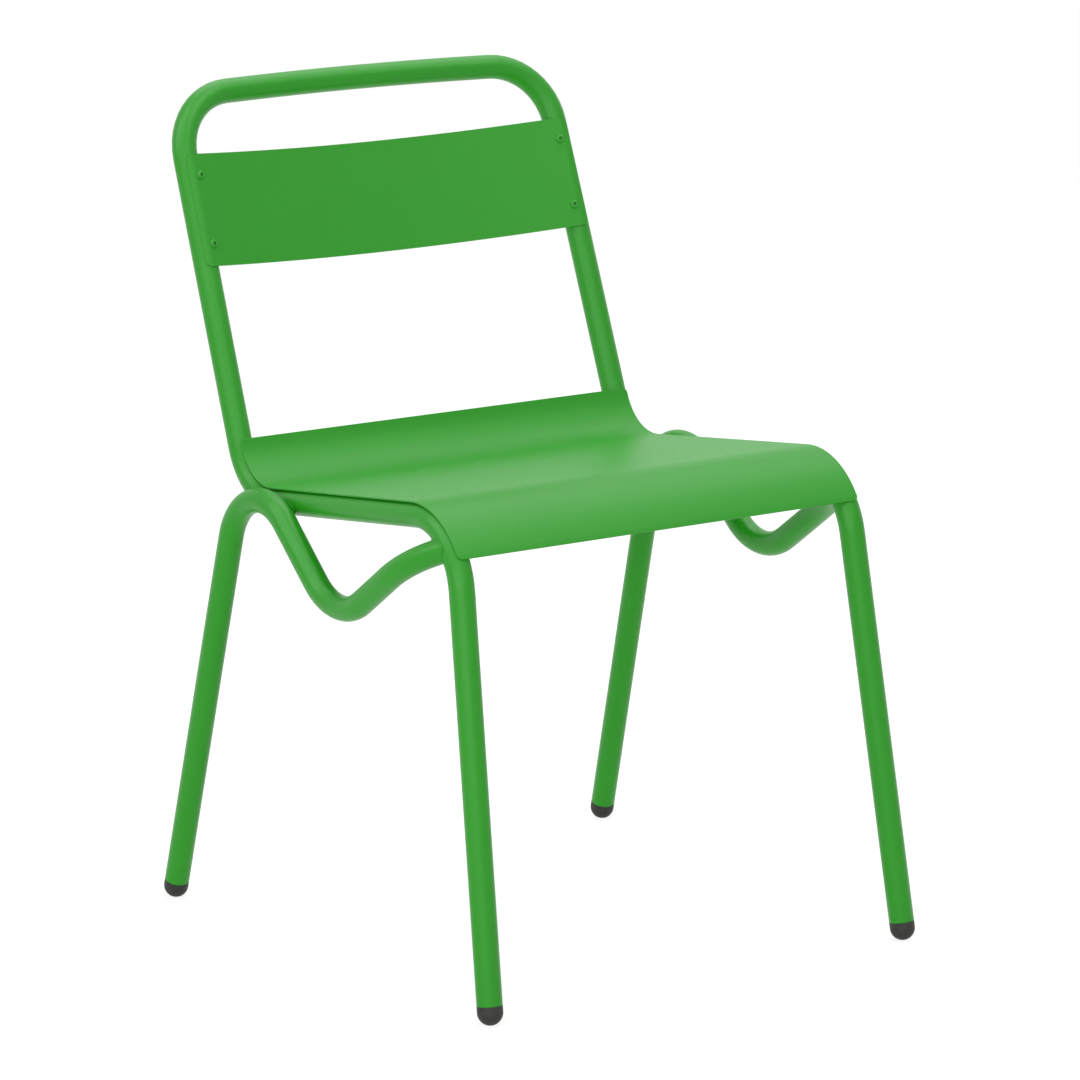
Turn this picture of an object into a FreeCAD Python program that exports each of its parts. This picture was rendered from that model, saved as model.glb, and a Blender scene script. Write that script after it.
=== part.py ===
import FreeCAD, Part
import Sketcher
import math
import os

Vector = FreeCAD.Vector

# Metal chair of bent round tube with a bent sheet seat and a curved sheet back.
# Millimetres. +Z is up, the front is towards -Y, left and right are as seen from the front.
# The origin is on the floor, at the centre of the chair's width and depth.

document = FreeCAD.newDocument("metal_chair")
sheet = document.addObject("Spreadsheet::Sheet", "sizes")
DEPTH_NOTE = "from the line midway between the front and rear feet"

SIZES = (
    ("tube_diameter", 24.0, "outer diameter of every frame tube"),
    ("tube_wall", 1.5, "wall of every frame tube"),
    ("weld_gap", 0.2, "gap between two tubes before they are welded"),
    ("front_foot_spread", 466.4, "between the front legs' axes at the floor"),
    ("front_foot_forward", 273.1, DEPTH_NOTE),
    ("knee_forward", 202.9, DEPTH_NOTE),
    ("knee_height", 453.0, "where the leg and seat rail axes meet"),
    ("knee_radius", 69.3, "bend of the tube's axis over the front knee"),
    ("seat_bend_spread", 433.6, "between the seat rails' axes at the rear bends"),
    ("knee_narrowing", 3.0, "how much closer the rails' axes are at the front knees"),
    ("seat_bend_back", 164.9, DEPTH_NOTE),
    ("seat_bend_height", 412.0, "where the seat rail and upright axes meet"),
    ("seat_bend_radius", 64.8, "bend of the tube's axis behind the seat"),
    ("top_corner_spread", 423.6, "between the uprights' axes at the top corners"),
    ("top_corner_back", 301.5, DEPTH_NOTE),
    ("top_corner_height", 783.9, "where the upright and top rail axes meet"),
    ("top_corner_radius", 63.9, "bend of the tube's axis at a top corner"),
    ("top_rail_bow", 9.4, "how far the middle of the top rail stands back"),
    ("top_rail_rise", 1.5, "how far the middle of the top rail stands up"),
    ("rear_foot_spread", 506.2, "between the rear legs' axes at the floor"),
    ("rear_foot_back", 273.1, DEPTH_NOTE),
    ("apex_ahead", 33.6, "rear leg and brace corner, ahead of the seat bend's corner"),
    ("apex_rise", 58.5, "rear leg and brace corner, over the seat bend's corner"),
    ("apex_radius", 61.2, "bend of the tube's axis at the top of the rear leg"),
    ("valley_ahead", 196.9, "low corner of the brace, ahead of the seat bend's corner"),
    ("valley_drop", 84.7, "low corner of the brace, under the seat bend's corner"),
    ("valley_radius", 67.5, "bend of the tube's axis at the bottom of the brace"),
    ("brace_rise_behind", 42.96, "corner where the brace turns in, behind its end"),
    ("brace_rise_drop", 19.0, "corner where the brace turns in, under its end"),
    ("brace_rise_radius", 138.0, "bend of the tube's axis before the front leg"),
    ("brace_tuck", 1.1, "how far the brace leans in before it turns to the leg"),
    ("brace_end_angle", 35.4, "degrees round the front knee where the brace ends"),
    ("seat_thickness", 1.5, "sheet of the seat"),
    ("seat_gap", 0.1, "gap between the seat sheet and the tubes, at the welds' edge"),
    ("seat_overlap", 7.0, "how far the seat sheet passes the rail axes"),
    ("seat_front_angle", 21.0, "degrees round the front knee where the seat sheet ends"),
    ("seat_rear_run", 5.45, "straight end of the seat sheet behind its rear bend"),
    ("seat_corner", 5.0, "corner radius of the seat sheet"),
    ("panel_thickness", 1.5, "sheet of the back panel"),
    ("panel_gap", 0.1, "gap between the back panel and the uprights"),
    ("panel_drop", 56.0, "from the top corner's height down to the panel's top edge"),
    ("panel_height", 104.2, "from the panel's top edge straight down to its bottom edge"),
    ("panel_leave_angle", 13.4, "degrees inboard of the front where it leaves the tube"),
    ("panel_wrap_angle", 28.0, "degrees outboard of the front where the sheet ends"),
    ("panel_corner", 6.5, "corner radius of the back panel"),
    ("rivet_upper_edge", 19.9, "from the panel's top edge down to the upper rivets"),
    ("rivet_lower_edge", 20.5, "from the panel's bottom edge up to the lower rivets"),
    ("rivet_inset", 2.8, "rivet axis inboard of where the panel leaves the tube"),
    ("rivet_shank_diameter", 4.8, "shank of a back rivet"),
    ("rivet_hole_clearance", 0.2, "rivet hole diameter over the shank"),
    ("rivet_head_diameter", 9.0, "dome head of a back rivet"),
    ("rivet_head_height", 1.6, "dome head of a back rivet"),
    ("rivet_bore_diameter", 2.8, "hollow in a back rivet"),
    ("rivet_bulge_diameter", 6.4, "pulled end of a back rivet inside the tube"),
    ("rivet_bulge_length", 3.0, "pulled end of a back rivet inside the tube"),
    ("rivet_tail_length", 1.4, "taper below the pulled end"),
    ("mandrel_clearance", 0.1, "mandrel diameter under the rivet's hollow"),
    ("mandrel_recess", 1.0, "broken end of the mandrel below the top of the head"),
    ("mandrel_head_diameter", 3.9, "head of the mandrel behind the rivet"),
    ("mandrel_head_length", 1.8, "head of the mandrel behind the rivet"),
    ("foot_flat_depth", 0.8, "worn flat on the dome of a foot"),
    ("foot_collar", 6.0, "straight part of a foot above its dome"),
    ("foot_stem_length", 22.0, "stem of a foot inside the tube"),
    ("foot_stem_clearance", 0.8, "gap round the stem between its ribs"),
    ("foot_rib_clearance", 0.05, "gap between a stem rib and the tube's bore"),
    ("foot_rib_height", 2.0, "height of one stem rib"),
    ("foot_rib_pitch", 6.0, "from one stem rib to the next"),
    ("foot_rib_start", 3.0, "from the collar to the first stem rib"),
    ("foot_rib_count", 3.0, "ribs on a stem"),
    ("weld_leg", 2.0, "reach of a weld bead over each tube"),
    ("apex_weld_length", 42.0, "weld between a rear leg and its seat rail"),
    ("stitch_radius", 2.6, "bead that holds the seat sheet to a rail"),
    ("stitch_length", 26.0, "bead that holds the seat sheet to a rail"),
    ("stitch_pitch", 92.0, "from one bead's middle to the next"),
    ("stitch_start", 116.0, "along the rail from the knee corner to the first bead"),
    ("stitch_count", 3.0, "beads on each rail"),
    ("stitch_side_angle", 34.0, "degrees inboard of the rail's top where the bead lies"),
    ("stitch_proud", 0.6, "bead's axis outside the surface of the rail"),
)


def fill_sheet():
    for row, (alias, value, note) in enumerate(SIZES, start=1):
        sheet.set(f"A{row}", alias)
        sheet.set(f"B{row}", str(value))
        sheet.set(f"C{row}", note)
        sheet.setAlias(f"B{row}", alias)
    document.recompute()


fill_sheet()
size = {alias: sheet.get(alias) for alias, value, note in SIZES}

# Values that follow from the driving sizes.
TUBE_RADIUS = size["tube_diameter"] / 2
BORE_RADIUS = TUBE_RADIUS - size["tube_wall"]
SIDES = {"left": -1, "right": 1}
X_AXIS = Vector(1, 0, 0)
Z_AXIS = Vector(0, 0, 1)
FULL_TURN = 360
BOWED_SHARE = 0.98  # of the top rail's half length, so that its arc stops short of the corners

finished = []


# Geometry helpers

def unit(vector):
    return Vector(vector).normalize()


def turned_to(direction, point):
    """Placement that turns +Z to a direction and moves the origin to a point."""
    return FreeCAD.Placement(point, FreeCAD.Rotation(Z_AXIS, direction))


def side_point(side, half_spread, back, height):
    return Vector(SIDES[side] * half_spread, back, height)


def bend_points(before, corner, after, radius):
    """Start, middle and end of the arc that rounds a corner of a path."""
    to_before = unit(before - corner)
    to_after = unit(after - corner)
    half_turn = (math.pi - to_before.getAngle(to_after)) / 2
    tangent_length = radius * math.tan(half_turn)
    to_middle = unit(to_before + to_after) * (radius / math.cos(half_turn) - radius)
    return corner + to_before * tangent_length, corner + to_middle, corner + to_after * tangent_length


def point_round_arc(start, middle, end, angle):
    """Point on an arc through three points, an angle in degrees past its start."""
    centre = Part.Arc(start, middle, end).toShape().Curve.Center
    axis = (start - centre).cross(end - centre)
    return centre + FreeCAD.Rotation(axis, angle).multVec(start - centre)


def late_arc(start, middle, end, angle):
    """What is left of an arc when it begins an angle in degrees past its start."""
    begin = point_round_arc(start, middle, end, angle)
    centre = Part.Arc(start, middle, end).toShape().Curve.Center
    rest = math.degrees((begin - centre).getAngle(end - centre))
    return Part.Arc(begin, point_round_arc(begin, middle, end, rest / 2), end)


def rounded_edges(points, radii):
    """Straight runs and tangent arcs through a list of corner points."""
    edges = []
    run_start = points[0]
    for index, radius in enumerate(radii, start=1):
        start, middle, end = bend_points(points[index - 1], points[index], points[index + 1], radius)
        edges.append(Part.LineSegment(run_start, start).toShape())
        edges.append(Part.Arc(start, middle, end).toShape())
        run_start = end
    edges.append(Part.LineSegment(run_start, points[-1]).toShape())
    return edges


def point_at_height(low, high, height):
    """Point on the line through two points, at a height."""
    return low + (high - low) * ((height - low.z) / (high.z - low.z))


# Object helpers

def hidden_shape(name, shape):
    feature = document.addObject("Part::Feature", name)
    feature.Shape = shape
    return feature


def finish(feature, label):
    feature.Label = label
    finished.append(feature)
    return feature


def boolean(kind, name, base, tool):
    feature = document.addObject(f"Part::{kind}", name)
    feature.Base = base
    feature.Tool = tool
    return feature


def swept_rod(name, path, start, direction, radius_expression):
    """Round rod along a path, its radius bound to the sheet."""
    circle = document.addObject("Part::Circle", f"{name}_circle")
    circle.setExpression("Radius", radius_expression)
    circle.Placement = turned_to(direction, start)
    rod = document.addObject("Part::Sweep", name)
    rod.Sections = [circle]
    rod.Spine = (path, [f"Edge{number}" for number in range(1, len(path.Shape.Edges) + 1)])
    rod.Solid = True
    rod.Frenet = False
    return rod


def rod_along(name, points, radii, radius_expression):
    path = hidden_shape(f"{name}_path", Part.Wire(rounded_edges(points, radii)))
    return swept_rod(name, path, points[0], points[1] - points[0], radius_expression)


def cylinder(name, placement, radius_expression, height_expression):
    feature = document.addObject("Part::Cylinder", name)
    feature.setExpression("Radius", radius_expression)
    feature.setExpression("Height", height_expression)
    feature.Placement = placement
    return feature


def compound(name, members):
    feature = document.addObject("Part::Compound", name)
    feature.Links = members
    return feature


def box(name, corner, length, width, height):
    feature = document.addObject("Part::Box", name)
    feature.setExpression("Length", length)
    feature.setExpression("Width", width)
    feature.setExpression("Height", height)
    feature.Placement = corner
    return feature


def corner_notch(name, corner, inward, along, radius, radius_name):
    """Cutter that rounds one corner of a sheet, with two sides running from the corner."""
    turn = FreeCAD.Rotation(inward, along, inward.cross(along), "XYZ")
    corner_place = FreeCAD.Placement(corner, turn)
    half_depth = -size["tube_diameter"] / 2
    block_place = FreeCAD.Placement(Vector(-radius, -radius, half_depth), FreeCAD.Rotation())
    round_place = FreeCAD.Placement(Vector(radius, radius, half_depth), FreeCAD.Rotation())
    side = f"2 * sizes.{radius_name}"
    block = box(f"{name}_block", corner_place.multiply(block_place), side, side, "sizes.tube_diameter")
    rounding = cylinder(f"{name}_round", corner_place.multiply(round_place),
                        f"sizes.{radius_name}", "sizes.tube_diameter")
    return boolean("Cut", name, block, rounding)


def origin_plane(body, role):
    return next(plane for plane in body.Origin.OriginFeatures if plane.Role == role)


def value_of(expression):
    return float(sheet.evalExpression(expression))


def lathe_edge(start, end, arc_radius):
    """Line, or arc bulging away from the axis, from one outline corner to the next."""
    if arc_radius is None:
        return Part.LineSegment(start, end)
    half_chord = (end - start).Length / 2
    inward = unit(Z_AXIS.cross(end - start))
    to_centre = math.sqrt(max(arc_radius ** 2 - half_chord ** 2, 0))
    circle = Part.Circle((start + end) / 2 + inward * to_centre, Z_AXIS, arc_radius)
    return Part.ArcOfCircle(circle, circle.parameter(start), circle.parameter(end))


def bind(sketch, constraint, expression):
    number = sketch.addConstraint(constraint)
    sketch.setExpression(f"Constraints[{number}]", expression)


def turned_body(name, outline):
    """Body turned about +Z. An outline row holds a corner's radius and height as
    expressions, and the radius of the arc to the next corner, or None for a line."""
    body = document.addObject("PartDesign::Body", name)
    sketch = body.newObject("Sketcher::SketchObject", f"{name}_outline")
    sketch.AttachmentSupport = (origin_plane(body, "XZ_Plane"), "")
    sketch.MapMode = "FlatFace"
    corners = [Vector(value_of(across), value_of(up), 0) for across, up, arc in outline]
    for index, (across, up, arc) in enumerate(outline):
        following = corners[(index + 1) % len(corners)]
        arc_radius = None if arc is None else value_of(arc)
        sketch.addGeometry(lathe_edge(corners[index], following, arc_radius))
    for index, (across, up, arc) in enumerate(outline):
        following = (index + 1) % len(outline)
        sketch.addConstraint(Sketcher.Constraint("Coincident", index, 2, following, 1))
        bind(sketch, Sketcher.Constraint("DistanceX", index, 1, corners[index].x), across)
        bind(sketch, Sketcher.Constraint("DistanceY", index, 1, corners[index].y), up)
        if arc is not None:
            bind(sketch, Sketcher.Constraint("Radius", index, value_of(arc)), arc)
    turned = body.newObject("PartDesign::Revolution", f"{name}_turned")
    turned.Profile = sketch
    turned.ReferenceAxis = (sketch, ["V_Axis"])
    turned.Angle = FULL_TURN
    body.Tip = turned
    return body


# Frame routes: the corners of each tube's axis, from the floor up

def hoop_corners(side):
    knee_spread = size["seat_bend_spread"] - size["knee_narrowing"]
    foot = side_point(side, size["front_foot_spread"] / 2, -size["front_foot_forward"], 0)
    knee = side_point(side, knee_spread / 2, -size["knee_forward"], size["knee_height"])
    bend = side_point(side, size["seat_bend_spread"] / 2, size["seat_bend_back"],
                      size["seat_bend_height"])
    top = side_point(side, size["top_corner_spread"] / 2, size["top_corner_back"],
                     size["top_corner_height"])
    return [foot, knee, bend, top]


HOOP_RADII = [size["knee_radius"], size["seat_bend_radius"], size["top_corner_radius"]]


def top_middle():
    """Corner in the middle of the top rail, whose large arc makes the rail's bow."""
    back = size["top_corner_back"] + 2 * size["top_rail_bow"]
    return Vector(0, back, size["top_corner_height"] + 2 * size["top_rail_rise"])


def bow_radius():
    """Radius whose arc takes up the top rail from one corner bend to the other."""
    bend, corner = hoop_corners("right")[2:]
    run_start = bend_points(bend, corner, top_middle(), size["top_corner_radius"])[2]
    half_turn = (corner - top_middle()).getAngle(X_AXIS)
    return (top_middle() - run_start).Length * BOWED_SHARE / math.tan(half_turn)


def brace_end(side):
    """Point on the hoop's axis, part of the way round the front knee."""
    foot, knee, bend, top = hoop_corners(side)
    knee_arc = bend_points(foot, knee, bend, size["knee_radius"])
    return point_round_arc(*knee_arc, size["brace_end_angle"])


def rear_corners_at(side, half_spread):
    foot = side_point(side, size["rear_foot_spread"] / 2, size["rear_foot_back"], 0)
    back, height = size["seat_bend_back"], size["seat_bend_height"]
    apex = side_point(side, half_spread, back - size["apex_ahead"], height + size["apex_rise"])
    valley = side_point(side, half_spread, back - size["valley_ahead"], height - size["valley_drop"])
    end = brace_end(side)
    rise = side_point(side, half_spread - size["brace_tuck"], end.y + size["brace_rise_behind"],
                      end.z - size["brace_rise_drop"])
    return [foot, apex, valley, rise, end]


def apex_contact(side, half_spread):
    """Where the axes of the hoop and of the rear leg's top bend pass closest."""
    foot, knee, bend, top = hoop_corners(side)
    rail = Part.Wire(rounded_edges([knee, bend, top], [size["seat_bend_radius"]]))
    rear_foot, apex, valley = rear_corners_at(side, half_spread)[:3]
    leg_bend = Part.Arc(*bend_points(rear_foot, apex, valley, size["apex_radius"])).toShape()
    distance, pairs, details = rail.distToShape(leg_bend)
    return distance, (pairs[0][0] + pairs[0][1]) / 2


def apex_half_spread():
    """Half spread that lays the rear leg's top bend beside the hoop."""
    beside = size["seat_bend_spread"] / 2 + size["tube_diameter"]
    distance, middle = apex_contact("right", beside)
    return beside + size["tube_diameter"] + size["weld_gap"] - distance


def rear_corners(side):
    return rear_corners_at(side, apex_half_spread())


REAR_RADII = [size["apex_radius"], size["valley_radius"], size["brace_rise_radius"]]


# Leg ends: the dome of each foot stands on the floor, its collar carries the tube

def dome_centre(foot, above):
    up_leg = unit(above - foot)
    return foot + up_leg * ((TUBE_RADIUS - size["foot_flat_depth"]) / up_leg.z)


def tube_start(foot, above):
    return dome_centre(foot, above) + unit(above - foot) * size["foot_collar"]


def origin_shift():
    """Moves the middle of the chair's depth to the origin."""
    front_foot, knee = hoop_corners("right")[:2]
    rear_foot, apex = rear_corners("right")[:2]
    corner = hoop_corners("right")[-1]
    rail_middle = bend_points(corner, top_middle(), hoop_corners("left")[-1], bow_radius())[1]
    front = dome_centre(front_foot, knee).y - TUBE_RADIUS
    rear = max(rail_middle.y, dome_centre(rear_foot, apex).y) + TUBE_RADIUS
    return Vector(0, -(front + rear) / 2, 0)


# Frame tubes

RADIUS = "sizes.tube_diameter / 2"
BORE = "sizes.tube_diameter / 2 - sizes.tube_wall"
GAP_RADIUS = "sizes.tube_diameter / 2 + sizes.weld_gap"
BEAD_RADIUS = "sizes.tube_diameter / 2 + sizes.weld_leg"


def hoop_route():
    left = hoop_corners("left")
    right = hoop_corners("right")
    left[0] = tube_start(left[0], left[1])
    right[0] = tube_start(right[0], right[1])
    points = left + [top_middle()] + right[::-1]
    return points, HOOP_RADII + [bow_radius()] + HOOP_RADII[::-1]


def rear_route(side):
    points = rear_corners(side)
    points[0] = tube_start(points[0], points[1])
    return points, REAR_RADII


def knee_route(side):
    """The hoop's front leg and knee, up to the start of its rear bend."""
    foot, knee, bend, top = hoop_corners(side)
    rail_end = bend_points(knee, bend, top, size["seat_bend_radius"])[0]
    return [tube_start(foot, knee), knee, rail_end], [size["knee_radius"]]


def seat_bend_route(side):
    """The hoop's rear bend, from the end of the knee to the start of the top corner."""
    foot, knee, bend, top = hoop_corners(side)
    rail_start = bend_points(foot, knee, bend, size["knee_radius"])[2]
    upright_end = bend_points(bend, top, top_middle(), size["top_corner_radius"])[0]
    return [rail_start, bend, upright_end], [size["seat_bend_radius"]]


def apex_route(side):
    """The rear leg and its top bend, up to the start of the brace's low bend."""
    foot, apex, valley, rise, end = rear_corners(side)
    run_end = bend_points(apex, valley, rise, size["valley_radius"])[0]
    return [tube_start(foot, apex), apex, run_end], [size["apex_radius"]]


def brace_end_route(side):
    """The front of the brace, from the end of its low bend to the front leg."""
    foot, apex, valley, rise, end = rear_corners(side)
    run_start = bend_points(apex, valley, rise, size["valley_radius"])[2]
    return [run_start, rise, end], [size["brace_rise_radius"]]


def hoop_tube(holes):
    outer = rod_along("hoop_outer", *hoop_route(), RADIUS)
    bore = rod_along("hoop_bore", *hoop_route(), BORE)
    tools = compound("hoop_tools", [bore] + holes)
    return outer, finish(boolean("Cut", "hoop_tube", outer, tools), "hoop_tube")


def rear_leg_tube(side):
    outer = rod_along(f"rear_outer_{side}", *rear_route(side), RADIUS)
    bore = rod_along(f"rear_bore_{side}", *rear_route(side), BORE)
    saddle = rod_along(f"rear_saddle_{side}", *knee_route(side), GAP_RADIUS)
    tools = compound(f"rear_tools_{side}", [bore, saddle])
    name = f"rear_leg_tube_{side}"
    return outer, finish(boolean("Cut", name, outer, tools), name)


# Seat sheet: one bent sheet over the hoop, straight from side to side

def seat_line():
    """Side view of the hoop's axis from the floor to the sheet's rear end."""
    foot, knee, bend, top = [Vector(0, point.y, point.z) for point in hoop_corners("right")]
    bend_end = bend_points(knee, bend, top, size["seat_bend_radius"])[2]
    rear = bend_end + unit(top - bend) * size["seat_rear_run"]
    return [foot, knee, bend, rear], HOOP_RADII[:2]


def beside_line(corners, radii, distance):
    """Side-view line at a distance over another, on its front and top side."""
    directions = [unit(end - start) for start, end in zip(corners, corners[1:])]
    normals = [X_AXIS.cross(direction) for direction in directions]
    moved = [corners[0] + normals[0] * distance]
    moved_radii = []
    for corner, radius, before, after in zip(corners[1:-1], radii, normals, normals[1:]):
        moved.append(corner + (before + after) * (distance / (1 + before.dot(after))))
        hollow = before.cross(after).dot(X_AXIS) > 0
        moved_radii.append(radius - distance if hollow else radius + distance)
    moved.append(corners[-1] + normals[-1] * distance)
    return moved, moved_radii


def seat_face_edges(distance):
    """One face of the sheet in side view, from its front end to its rear end."""
    (foot, knee, bend, rear), (knee_radius, bend_radius) = beside_line(*seat_line(), distance)
    knee_arc = bend_points(foot, knee, bend, knee_radius)
    rear_arc = bend_points(knee, bend, rear, bend_radius)
    front = point_round_arc(*knee_arc, size["seat_front_angle"])
    edges = [late_arc(*knee_arc, size["seat_front_angle"]).toShape(),
             Part.LineSegment(knee_arc[2], rear_arc[0]).toShape(),
             Part.Arc(*rear_arc).toShape(),
             Part.LineSegment(rear_arc[2], rear).toShape()]
    return edges, front, rear


def seat_section():
    clear = TUBE_RADIUS + size["seat_gap"]
    under_edges, under_front, under_rear = seat_face_edges(clear)
    over_edges, over_front, over_rear = seat_face_edges(clear + size["seat_thickness"])
    ends = [Part.LineSegment(under_front, over_front).toShape(),
            Part.LineSegment(under_rear, over_rear).toShape()]
    ordered = Part.sortEdges(under_edges + over_edges + ends)[0]
    return Part.Face(Part.Wire(ordered))


def seat_notches():
    clear = TUBE_RADIUS + size["seat_gap"]
    under = seat_face_edges(clear)[1:]
    over = seat_face_edges(clear + size["seat_thickness"])[1:]
    mean_spread = size["seat_bend_spread"] - size["knee_narrowing"] / 2
    half_width = mean_spread / 2 + size["seat_overlap"]
    notches = []
    for end, low, high, sense in zip(("front", "rear"), under, over, (1, -1)):
        along = unit(high - low).cross(X_AXIS) * sense
        for side in SIDES:
            outward = X_AXIS * SIDES[side]
            corner = (low + high) / 2 + outward * half_width
            notches.append(corner_notch(f"seat_notch_{end}_{side}", corner, outward * -1, along,
                                        size["seat_corner"], "seat_corner"))
    return notches


def seat_panel():
    sheet_body = document.addObject("Part::Extrusion", "seat_sheet")
    sheet_body.Base = hidden_shape("seat_section", seat_section())
    sheet_body.DirMode = "Custom"
    sheet_body.Dir = X_AXIS
    mean_spread = "sizes.seat_bend_spread - sizes.knee_narrowing / 2"
    sheet_body.setExpression("LengthFwd", f"{mean_spread} + 2 * sizes.seat_overlap")
    sheet_body.Symmetric = True
    sheet_body.Solid = True
    notches = compound("seat_notches", seat_notches())
    return finish(boolean("Cut", "seat_panel", sheet_body, notches), "seat_panel")


# Back panel: a curved sheet, hollow towards the sitter, hugging the uprights' fronts

def upright_forward():
    """Square to the uprights in side view, towards the sitter."""
    foot, knee, bend, top = hoop_corners("right")
    return unit(X_AXIS.cross(Vector(0, top.y - bend.y, top.z - bend.z)))


def hollow_radius(upright, radius):
    """Radius of the sheet's hollow middle, where it lies a radius off the upright's axis."""
    return abs(upright.x) / math.sin(math.radians(size["panel_leave_angle"])) - radius


def panel_curve(height, radius):
    """Left to right points of the sheet's curve: three arcs with shared ends."""
    bend, top = hoop_corners("right")[2:]
    upright = point_at_height(bend, top, height)
    leave = math.radians(size["panel_leave_angle"])
    wrap = math.radians(size["panel_wrap_angle"])
    forward = upright_forward()

    def wrap_point(side, inboard_angle):
        across = SIDES[side] * (upright.x - radius * math.sin(inboard_angle))
        out = radius * math.cos(inboard_angle)
        return Vector(across, upright.y, upright.z) + forward * out

    hollow_depth = upright.x / math.tan(leave) - hollow_radius(upright, radius)
    middle = Vector(0, upright.y, upright.z) + forward * hollow_depth
    wrap_angles = (-wrap, (leave - wrap) / 2, leave)
    left = [wrap_point("left", angle) for angle in wrap_angles]
    right = [wrap_point("right", angle) for angle in wrap_angles]
    return left + [middle] + right[::-1]


def arcs_through(points):
    return [Part.Arc(*points[first:first + 3]).toShape() for first in range(0, len(points) - 1, 2)]


def panel_heights():
    """Heights on the uprights' axes of the sheet's top and bottom edges."""
    top = size["top_corner_height"] - size["panel_drop"]
    return top, top - size["panel_height"]


def panel_section(height):
    rear = panel_curve(height, TUBE_RADIUS + size["panel_gap"])
    front = panel_curve(height, TUBE_RADIUS + size["panel_gap"] + size["panel_thickness"])
    edges = arcs_through(rear)
    edges.append(Part.LineSegment(rear[-1], front[-1]).toShape())
    edges += arcs_through(front[::-1])
    edges.append(Part.LineSegment(front[0], rear[0]).toShape())
    return Part.Wire(edges)


def panel_notches():
    radius = TUBE_RADIUS + size["panel_gap"] + size["panel_thickness"] / 2
    wrap = math.radians(size["panel_wrap_angle"]) - size["panel_corner"] / (2 * radius)
    bend, top = hoop_corners("right")[2:]
    up = unit(Vector(0, top.y - bend.y, top.z - bend.z))
    notches = []
    for end, height, along in zip(("top", "bottom"), panel_heights(), (up * -1, up)):
        curve = panel_curve(height, radius)
        for side, corner in (("left", curve[0]), ("right", curve[-1])):
            inboard = X_AXIS * -SIDES[side]
            inward = inboard * math.cos(wrap) + upright_forward() * math.sin(wrap)
            notches.append(corner_notch(f"panel_notch_{end}_{side}", corner, inward, along,
                                        size["panel_corner"], "panel_corner"))
    return notches


def back_panel(holes):
    top_height, bottom_height = panel_heights()
    bottom = hidden_shape("panel_bottom_section", panel_section(bottom_height))
    top = hidden_shape("panel_top_section", panel_section(top_height))
    sheet_body = document.addObject("Part::Loft", "panel_sheet")
    sheet_body.Sections = [bottom, top]
    sheet_body.Solid = True
    sheet_body.Ruled = True
    tools = compound("panel_tools", panel_notches() + holes)
    return finish(boolean("Cut", "back_panel", sheet_body, tools), "back_panel")


# Blind rivets: their local +Z points out of the panel's front

SHANK = "sizes.rivet_shank_diameter / 2"
BULGE = "sizes.rivet_bulge_diameter / 2"
HEAD = "sizes.rivet_head_diameter / 2"
HOLLOW = "sizes.rivet_bore_diameter / 2"
STACK = "sizes.tube_diameter / 2 + sizes.panel_gap + sizes.panel_thickness"
WALL_DROP = f"sqrt(({BORE}) ^ 2 - (sizes.rivet_inset + {BULGE}) ^ 2)"
BULGE_TOP = f"-({STACK} - {WALL_DROP} + sizes.rivet_hole_clearance / 2)"
BULGE_END = f"{BULGE_TOP} - sizes.rivet_bulge_length"
TAIL_END = f"{BULGE_END} - sizes.rivet_tail_length"
DOME = f"(({HEAD}) ^ 2 + sizes.rivet_head_height ^ 2) / (2 * sizes.rivet_head_height)"
DOME_EDGE = f"sqrt(({DOME}) ^ 2 - ({HOLLOW}) ^ 2) - ({DOME}) + sizes.rivet_head_height"
MANDREL = f"{HOLLOW} - sizes.mandrel_clearance / 2"
RIVET_OUTLINE = (
    (HOLLOW, TAIL_END, None),
    (SHANK, TAIL_END, None),
    (BULGE, BULGE_END, None),
    (BULGE, BULGE_TOP, None),
    (SHANK, BULGE_TOP, None),
    (SHANK, "0", None),
    (HEAD, "0", DOME),
    (HOLLOW, DOME_EDGE, None),
)
MANDREL_OUTLINE = (
    ("0", f"{TAIL_END} - sizes.mandrel_head_length", None),
    ("sizes.mandrel_head_diameter / 2", f"{TAIL_END} - sizes.mandrel_head_length", None),
    ("sizes.mandrel_head_diameter / 2", TAIL_END, None),
    (MANDREL, TAIL_END, None),
    (MANDREL, "sizes.rivet_head_height - sizes.mandrel_recess", None),
    ("0", "sizes.rivet_head_height - sizes.mandrel_recess", None),
)


def rivet_placement(side, height):
    bend, top = hoop_corners(side)[2:]
    leave = math.radians(size["panel_leave_angle"])
    inboard = X_AXIS * -SIDES[side]
    forward = upright_forward()
    out = forward * math.cos(leave) + inboard * math.sin(leave)
    along = inboard * math.cos(leave) - forward * math.sin(leave)
    upright = point_at_height(bend, top, height)
    stack = TUBE_RADIUS + size["panel_gap"] + size["panel_thickness"]
    head_reach = size["rivet_inset"] + size["rivet_head_diameter"] / 2
    head_lift = head_reach ** 2 / (2 * hollow_radius(upright, stack))
    return turned_to(out, upright + out * (stack + head_lift) + along * size["rivet_inset"])


def rivet_places():
    top, bottom = panel_heights()
    heights = {"upper": top - size["rivet_upper_edge"], "lower": bottom + size["rivet_lower_edge"]}
    return {f"{level}_{side}": rivet_placement(side, height)
            for level, height in heights.items() for side in SIDES}


def rivet_holes():
    """Drills through the panel and the front wall of each upright."""
    drills = []
    for name, placement in rivet_places().items():
        depth = FreeCAD.Placement(Vector(0, 0, -TUBE_RADIUS), FreeCAD.Rotation())
        drills.append(cylinder(f"rivet_drill_{name}", placement.multiply(depth),
                               f"{SHANK} + sizes.rivet_hole_clearance / 2",
                               "sizes.tube_diameter"))
    return drills


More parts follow.
